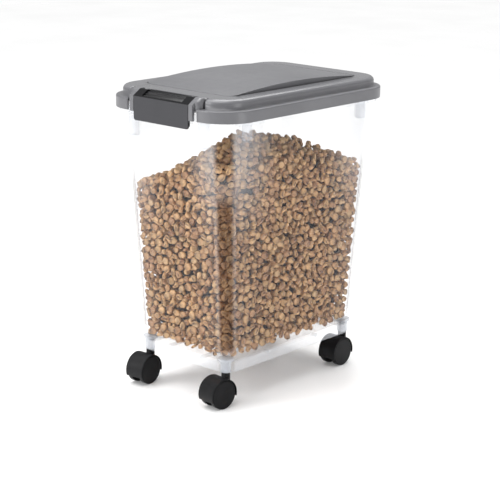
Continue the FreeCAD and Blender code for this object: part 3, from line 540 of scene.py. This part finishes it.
def makeKeels():
    bm = bmesh.new()
    half = keels["width"] / 2
    box(bm, [mm(-half), mm(-keels["halfLength"]), mm(keels["low"])],
        [mm(half), mm(keels["halfLength"]), mm(keels["top"])], mm(keels["bevel"]))
    piece = newPiece("keels", bm, frostedPlastic)
    settle(spreadOut(piece, frostedPlastic, mm(2 * keels["place"]), 0, 2, 1), "bin", "clear_plastic")
    bm = bmesh.new()
    box(bm, [mm(-keels["tabLength"] / 2), mm(-half), mm(keels["low"])],
        [mm(keels["tabLength"] / 2), mm(half), mm(keels["top"])], mm(keels["bevel"]))
    piece = newPiece("floorTabs", bm, frostedPlastic)
    reach = 2 * (tub["floorHalf"][0] - tub["baseInset"] - tub["wall"] / 2 - keels["tabLength"] / 2)
    settle(spreadOut(piece, frostedPlastic, mm(reach), mm(2 * keels["tabY"])), "bin", "clear_plastic")


knuckles = {"x": 65.0, "length": 16.0, "radius": 3.7, "bore": 1.58, "y": 208.3, "z": 470.0, "steps": 32}


def makeKnuckles():
    k = knuckles
    reach = k["y"] - (tub["rimHalf"][1] - tub["lip"] + 0.2)
    outer, inner = [], []
    for number in range(k["steps"]):
        angle = 2 * math.pi * number / k["steps"] + math.pi / 4
        across, up = math.cos(angle), math.sin(angle)
        inner.append((k["y"] + k["bore"] * across, k["z"] + k["bore"] * up))
        if across >= 0:
            outer.append((k["y"] + k["radius"] * across, k["z"] + k["radius"] * up))
        else:  # the web back to the lip is square
            size = max(abs(across), abs(up))
            outer.append((k["y"] + reach * across / size, k["z"] + k["radius"] * up / size))
    bm = bmesh.new()
    rings = []
    for x in (-k["length"] / 2, k["length"] / 2):
        rings.append([[bm.verts.new((mm(x), mm(y), mm(z))) for y, z in outline]
                      for outline in (outer, inner)])
    for number in range(k["steps"]):
        following = (number + 1) % k["steps"]
        for low, high in ((rings[0][0], rings[1][0]), (rings[0][1], rings[1][1]),
                          (rings[0][0], rings[0][1]), (rings[1][0], rings[1][1])):
            bm.faces.new((low[number], low[following], high[following], high[number]))
    piece = newPiece("tubKnuckles", bm, frostedPlastic)
    settle(spreadOut(piece, frostedPlastic, mm(2 * k["x"]), 0, 2, 1), "bin", "clear_plastic")


makeTub()
makeRibs()
makeSockets()
makeKeels()
makeKnuckles()
print("tub made")

refined("lid", lidGrey, 32.0)
refined("latch", latchBlack, 25.0)
dress("lid_gasket", sealFoam)
for side in ("left", "right"):
    dress("latch_pin_" + side, zincSteel)
    dress("hinge_pin_" + side, zincSteel)
print("lid and latch made")

wheel = {"radius": 24.25, "trail": 17.1, "inner": 7.8, "outer": 16.9, "soft": 1.5, "crown": 0.25,
         "tread": 4.0, "face": 3.0, "hub": 6.0, "bore": 2.6, "boreEnd": 2.4, "segments": 96}
casterTurn = {"front_right": (1, -1, -6.0), "front_left": (-1, -1, 5.0),
              "rear_right": (1, 1, 1.0), "rear_left": (-1, 1, 0.0)}


def wheelOutline():
    w = wheel
    outline = [(0, w["outer"])]
    outline += [(w["radius"] * part, w["outer"] - w["crown"] * part ** 2) for part in (0.3, 0.6, 0.8)]
    flat = w["outer"] - w["crown"]
    outline.append((w["radius"] - w["soft"] - 0.6, flat))
    for step in range(6):
        angle = math.radians(90 * step / 5)
        outline.append((w["radius"] - w["soft"] * (1 - math.sin(angle)),
                        flat - w["soft"] * (1 - math.cos(angle))))
    outline += [(w["radius"], (w["outer"] + w["inner"]) / 2), (w["radius"], w["inner"] + 0.8),
                (w["radius"] - 0.3, w["inner"] + 0.2), (w["radius"] - 0.8, w["inner"]),
                (w["radius"] - w["tread"], w["inner"]), (w["radius"] - w["tread"], w["outer"] - w["face"]),
                (w["hub"], w["outer"] - w["face"]), (w["hub"], w["inner"]),
                (w["bore"], w["inner"]), (w["bore"], w["outer"] - w["boreEnd"]),
                (0, w["outer"] - w["boreEnd"])]
    return [(mm(radius), mm(along)) for radius, along in outline]


def makeCaster(name, place):
    signX, signY, turn = place
    stand = Matrix.Translation((mm(signX * socketSizes["x"]), mm(signY * socketSizes["y"]), 0))
    stand = stand @ Matrix.Rotation(math.radians(turn), 4, "Z")
    for side, facing in (("a", 1), ("b", -1)):
        bm = bmesh.new()
        lathe(bm, wheelOutline(), wheel["segments"], "X")
        if facing < 0:
            bmesh.ops.transform(bm, matrix=Matrix.Rotation(math.pi, 4, "Z"), verts=bm.verts)
        axle = Matrix.Translation((0, mm(-wheel["trail"]), mm(wheel["radius"])))
        bmesh.ops.transform(bm, matrix=stand @ axle, verts=bm.verts)
        node = f"wheel_{name}_{side}"
        settle(newPiece(node + "Skin", bm, wheelBlack, 28.0), node, "wheel_black", node)
    refined("caster_hood_" + name, hoodBlack, 30.0)
    dress("stem_" + name, zincSteel)
    dress("stem_sleeve_" + name, sleeveNylon)
    dress("caster_axle_" + name, zincSteel)


for cornerName, cornerPlace in casterTurn.items():
    makeCaster(cornerName, cornerPlace)
print("casters made")

# the food is a prop on the set and no part of the bin

food = {"low": 77.5, "base": 338.0, "peak": 104.0, "middle": (55.0, -50.0), "reach": (116.0, 195.0),
        "layers": ((7.5, 0.0119, 11, 0.75), (14.0, 0.0112, 23, 2.0), (20.0, 0.0115, 31, 3.14)), "core": 25.0,
        "lump": 3.0, "rows": 14, "circles": 12,
        "radius": 6.2, "thick": 6.2, "round": 2.4}


def foodTop(x, y):
    offX = (x - mm(food["middle"][0])) / mm(food["reach"][0])
    offY = (y - mm(food["middle"][1])) / mm(food["reach"][1])
    lump = mm(food["lump"]) * (math.sin(x * 260 + 1.3) * math.cos(y * 230) + math.sin(x * 410 - y * 370))
    return mm(food["base"]) + mm(food["peak"]) * math.exp(-offX * offX - offY * offY) + lump


def foodShell(name, inset):
    bm = bmesh.new()
    inside = tub["wall"] + inset
    rings = []
    rows = food["rows"]
    top = [Vector(point) for point in wallRing(400.0, inside)]
    for row in range(rows + 1):
        ring = []
        for number, point in enumerate(top):
            depth = foodTop(point.x, point.y) - mm(food["low"] + 2 * inset)
            z = mm(food["low"] + inset) + depth * row / rows
            ring.append(wallRing(z * 1000.0, inside)[number])
        rings.append(ring)
    for step in range(1, food["circles"]):
        shrink = 1 - step / food["circles"]
        ring = []
        for point in rings[rows]:
            x, y = point.x * shrink, point.y * shrink
            ring.append(Vector((x, y, foodTop(x, y) - mm(inset))))
        rings.append(ring)
    stackRings(bm, rings)
    return newPiece(name, bm, kibbleBrown)


def makeKibbleBrown():
    skin = Finish("kibbleBrown")
    tone = skin.add("ShaderNodeAttribute", {"attribute_name": "tone"}, out="Fac")
    grain = skin.noise(420.0, 4.0, 0.65)
    ramp = skin.tree.nodes.new("ShaderNodeValToRGB")
    # red brown, two browns, a pale tan and a dull tan, picked by each piece's tone
    stops = ((0.0, (0.27, 0.108, 0.052, 1)), (0.2, (0.43, 0.205, 0.095, 1)), (0.45, (0.57, 0.310, 0.135, 1)),
             (0.75, (0.70, 0.420, 0.190, 1)), (1.0, (0.52, 0.345, 0.180, 1)))
    while len(ramp.color_ramp.elements) < len(stops):
        ramp.color_ramp.elements.new(0.5)
    for element, (position, colour) in zip(ramp.color_ramp.elements, stops):
        element.position = position
        element.color = colour
    skin.tree.links.new(tone.socket, ramp.inputs[0])
    tone = Wire(skin.tree, ramp.outputs[0])
    colour = skin.blend(skin.spread(grain, 0.3, 0.75), tone, (0.56, 0.36, 0.19, 1))
    speck = skin.spread(skin.noise(900.0, 2.0), 0.62, 0.7, 0.0, 0.45)
    # painted shade: ambient occlusion darkens the kibble towards deep brown in the gaps between pieces
    paintedGapShade = skin.add("ShaderNodeAmbientOcclusion", {"samples": 6}, {"Distance": 0.007}, out="AO")
    colour = skin.blend(skin.spread(paintedGapShade, 0.10, 0.60), (0.075, 0.030, 0.013, 1), colour)
    return skin.close(Base_Color=skin.blend(speck, colour, (0.16, 0.075, 0.035, 1)),
                      Roughness=0.62 + 0.2 * (grain - 0.5), Normal=skin.bump(grain, 0.0012, 0.7))


def makeCoreShade():
    # painted shade: a near black brown shell under the kibble layers stands in for the shade deep inside the
    # heap
    skin = Finish("coreShade")
    lumps = skin.add("ShaderNodeTexVoronoi", sockets={"Vector": skin.place, "Scale": 90.0})
    return skin.close(Base_Color=skin.blend(lumps, (0.05, 0.022, 0.010, 1), (0.012, 0.006, 0.003, 1)),
                      Roughness=0.9)


kibbleBrown = makeKibbleBrown()
coreShade = makeCoreShade()


def kibbleShapes():
    # a few different pieces of dry food: round, oval, small and thick
    shapes = bpy.data.collections.new("kibbleShapes")
    for number, (wide, deep, high) in enumerate(((1.0, 1.0, 1.0), (1.1, 0.84, 0.95), (0.82, 0.8, 1.05),
                                                 (0.95, 0.95, 0.8), (1.12, 0.98, 1.0), (0.74, 0.7, 0.9))):
        radius, half, soft = food["radius"], food["thick"] / 2, food["round"]
        outline = [(0, half * 0.9), (radius * 0.55, half * 0.98)]
        for step in range(4):
            angle = math.radians(90 * step / 3)
            outline.append((radius - soft * (1 - math.sin(angle)), half - soft * (1 - math.cos(angle))))
        outline += [(r, -z) for r, z in reversed(outline)]
        bm = bmesh.new()
        lathe(bm, [(mm(r), mm(z)) for r, z in outline], 14)
        for vert in bm.verts:
            wave = 1 + 0.05 * math.sin(900 * vert.co.x + number)
            wave += 0.05 * math.cos(800 * vert.co.y + 2 * number)
            vert.co = Vector((vert.co.x * wide * wave, vert.co.y * deep * wave, vert.co.z * high * wave))
        piece = newPiece(f"kibble{number}", bm, kibbleBrown, 60.0)
        scene.collection.objects.unlink(piece)
        shapes.objects.link(piece)
    return shapes


def foodTree(shapes):
    tree = bpy.data.node_groups.new("food", "GeometryNodeTree")
    tree.interface.new_socket("Geometry", in_out="INPUT", socket_type="NodeSocketGeometry")
    tree.interface.new_socket("Spacing", in_out="INPUT", socket_type="NodeSocketFloat")
    tree.interface.new_socket("Seed", in_out="INPUT", socket_type="NodeSocketInt")
    tree.interface.new_socket("Tilt", in_out="INPUT", socket_type="NodeSocketFloat")
    tree.interface.new_socket("Geometry", in_out="OUTPUT", socket_type="NodeSocketGeometry")

    def add(kind, settings=None, **sockets):
        node = tree.nodes.new(kind)
        for name, setting in (settings or {}).items():
            setattr(node, name, setting)
        for name, term in sockets.items():
            socket = node.inputs[name.replace("_", " ")]
            if isinstance(term, bpy.types.NodeSocket):
                tree.links.new(term, socket)
            else:
                socket.default_value = term
        return node

    given = add("NodeGroupInput").outputs
    points = add("GeometryNodeDistributePointsOnFaces", {"distribute_method": "POISSON"},
                 Mesh=given["Geometry"], Distance_Min=given["Spacing"], Density_Max=60000.0,
                 Seed=given["Seed"]).outputs
    shape = add("GeometryNodeCollectionInfo", Collection=shapes, Separate_Children=True, Reset_Children=True)
    which = add("FunctionNodeRandomValue", {"data_type": "INT"}, Seed=given["Seed"])
    which.inputs[4].default_value = 0
    which.inputs[5].default_value = len(shapes.objects) - 1
    turn = add("FunctionNodeRandomValue", {"data_type": "FLOAT_VECTOR"}, Seed=given["Seed"])
    turn.inputs[0].default_value = (-1, -1, -1)
    turn.inputs[1].default_value = (1, 1, 1)
    most = add("ShaderNodeCombineXYZ", X=given["Tilt"], Y=given["Tilt"], Z=math.pi)
    swing = add("ShaderNodeVectorMath", {"operation": "MULTIPLY"})
    tree.links.new(turn.outputs[0], swing.inputs[0])
    tree.links.new(most.outputs[0], swing.inputs[1])
    lie = add("FunctionNodeRotateRotation", {"rotation_space": "LOCAL"}, Rotation=points["Rotation"],
              Rotate_By=swing.outputs[0])
    size = add("FunctionNodeRandomValue", {"data_type": "FLOAT"}, Seed=given["Seed"])
    size.inputs[2].default_value = 0.86
    size.inputs[3].default_value = 1.12
    copies = add("GeometryNodeInstanceOnPoints", Points=points["Points"], Instance=shape.outputs[0],
                 Pick_Instance=True, Instance_Index=which.outputs[2], Rotation=lie.outputs[0],
                 Scale=size.outputs[1])
    tone = add("FunctionNodeRandomValue", {"data_type": "FLOAT"}, Seed=7)
    kept = add("GeometryNodeStoreNamedAttribute", {"data_type": "FLOAT", "domain": "INSTANCE"},
               Geometry=copies.outputs[0], Name="tone", Value=tone.outputs[1])
    real = add("GeometryNodeRealizeInstances", Geometry=kept.outputs[0])
    finish = add("GeometryNodeSetMaterial", Geometry=real.outputs[0], Material=kibbleBrown)
    tree.links.new(finish.outputs[0], add("NodeGroupOutput").inputs[0])
    return tree


def makeFood():
    tree = foodTree(kibbleShapes())
    for inset, spacing, seed, tilt in food["layers"]:
        heap = baked(foodShell(f"food{seed}", inset), tree, spacing=spacing, seed=seed, tilt=tilt)
        print("food layer,", len(heap.data.polygons), "faces")
    # the core shell is painted shade between and behind the kibble
    core = foodShell("foodCore", food["core"])
    core.data.materials.clear()
    core.data.materials.append(coreShade)


makeFood()

floor = {"size": 8.0, "glow": 0.1}


def makeFloor():
    bm = bmesh.new()
    bmesh.ops.create_grid(bm, x_segments=4, y_segments=4, size=floor["size"])
    skin = Finish("paleFloor")
    cloud = skin.noise(3.0, 2.0)
    finish = skin.close(Base_Color=skin.blend(cloud, (0.95, 0.95, 0.95, 1), (0.98, 0.98, 0.98, 1)),
                        Roughness=0.22 + 0.08 * cloud, Specular_IOR_Level=0.35, Emission_Color=(1, 1, 1, 1),
                        Emission_Strength=floor["glow"])
    ground = newPiece("ground", bm, finish)
    if ground.data.polygons[0].normal.z < 0:
        ground.data.flip_normals()


lights = {"top": ((-0.3, 0.7, 1.8), (0, 0, 0.45), 1.2, 1.0, 16.0),
          "front": ((-1.0, -2.3, 1.2), (0, 0, 0.3), 1.2, 1.6, 34.0),
          "right": ((2.6, 0.2, 0.8), (0, 0, 0.3), 1.0, 1.6, 18.0)}
daylight = {"power": 2.7, "spread": 60.0, "lean": (12, -8), "surround": 0.36, "backdrop": 1.05}


def makeLights():
    for name, (place, target, width, height, power) in lights.items():
        lamp = bpy.data.lights.new(name, "AREA")
        lamp.shape = "RECTANGLE"
        lamp.size = width
        lamp.size_y = height
        lamp.energy = power
        piece = bpy.data.objects.new(name, lamp)
        piece.location = place
        piece.rotation_euler = (Vector(target) - Vector(place)).to_track_quat("-Z", "Y").to_euler()
        scene.collection.objects.link(piece)
    sun = bpy.data.lights.new("overhead", "SUN")
    sun.energy = daylight["power"]
    sun.angle = math.radians(daylight["spread"])
    piece = bpy.data.objects.new("overhead", sun)
    piece.rotation_euler = (math.radians(daylight["lean"][0]), math.radians(daylight["lean"][1]), 0)
    scene.collection.objects.link(piece)
    world = bpy.data.worlds.new("studio")
    world.use_nodes = True
    tree = world.node_tree
    seen = tree.nodes.new("ShaderNodeLightPath")
    lift = daylight["backdrop"] - daylight["surround"]
    level = Wire(tree, seen.outputs["Is Camera Ray"]) * lift + daylight["surround"]
    tree.nodes["Background"].inputs["Color"].default_value = (1, 1, 1, 1)
    tree.links.new(level.socket, tree.nodes["Background"].inputs["Strength"])
    scene.world = world
    scene.view_settings.view_transform = "Standard"
    scene.cycles.transparent_max_bounces = 24


makeFloor()
makeLights()
print("set and lights made")
